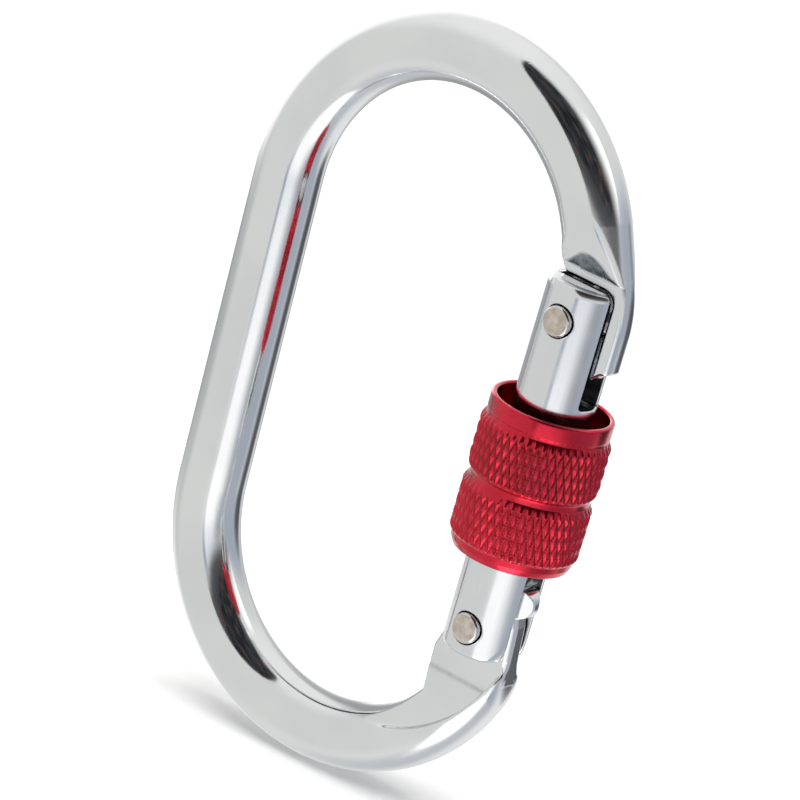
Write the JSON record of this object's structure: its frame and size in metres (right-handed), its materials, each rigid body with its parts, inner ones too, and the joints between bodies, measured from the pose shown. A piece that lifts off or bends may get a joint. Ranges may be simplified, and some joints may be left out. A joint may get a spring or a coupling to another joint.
{
  "type": "locking carabiner",
  "caption": "Oval steel carabiner with a sprung, pin-hinged gate and a knurled screw-lock sleeve that runs up over the nose to hold the gate shut.",
  "frame": {"origin": "centre of the whole carabiner's box, on the oval's middle plane", "axes": "+Z along the oval's long axis, towards the nose end; +X from the spine to the gate; the oval lies in the XZ plane; rest pose is gate shut and sleeve screwed down"},
  "size_m": [0.0672, 0.019, 0.1119],
  "materials": {
    "plated_steel": "bright zinc plate over tumbled forged steel, fine pits, soft mirror",
    "gate_steel": "bright zinc plate over turned bar, faint axial grain",
    "pin_steel": "turned ends, unplated, warm grey",
    "spring_steel": "drawn wire",
    "ring_rubber": "matt black nitrile",
    "red_anodised": "red anodised, satin turned collars and diamond-knurled bands"
  },
  "bodies": {
    "frame": {"body": "plated_steel", "hinge_pin": "pin_steel"},
    "gate": {"gate": "gate_steel", "latch_pin": "pin_steel", "gate_spring": "spring_steel"},
    "plunger": {"spring_plunger": "pin_steel"},
    "ring": {"sleeve_ring": "ring_rubber"},
    "sleeve": {"lock_sleeve": "red_anodised"}
  },
  "joints": [
    {"name": "gate_hinge", "type": "hinge", "parent": "frame", "child": "gate", "pos_m": [0.02305, 0, -0.0253], "axis": [0, -1, 0], "range_deg": [0, 27], "stiffness_Nm_per_rad": 0.3, "springref_deg": -22.92},
    {"name": "plunger_slide", "type": "slide", "parent": "gate", "child": "plunger", "axis": [0.0349, 0, 0.9994], "range_m": [0, 0.0007], "deforming": ["gate_spring"]},
    {"name": "sleeve_travel", "type": "slide", "parent": "gate", "child": "ring", "axis": [0.0349, 0, 0.9994], "range_m": [0, 0.011]},
    {"name": "sleeve_turn", "type": "hinge", "parent": "ring", "child": "sleeve", "pos_m": [0.02305, 0, -0.0253], "axis": [0.0349, 0, 0.9994], "range_deg": [0, 1980]}
  ],
  "couplings": [
    {"joint": "plunger_slide", "follows": "gate_hinge", "m_per_rad": 0.0014218},
    {"joint": "sleeve_turn", "follows": "sleeve_travel", "rad_per_m": 3141.6}
  ]
}
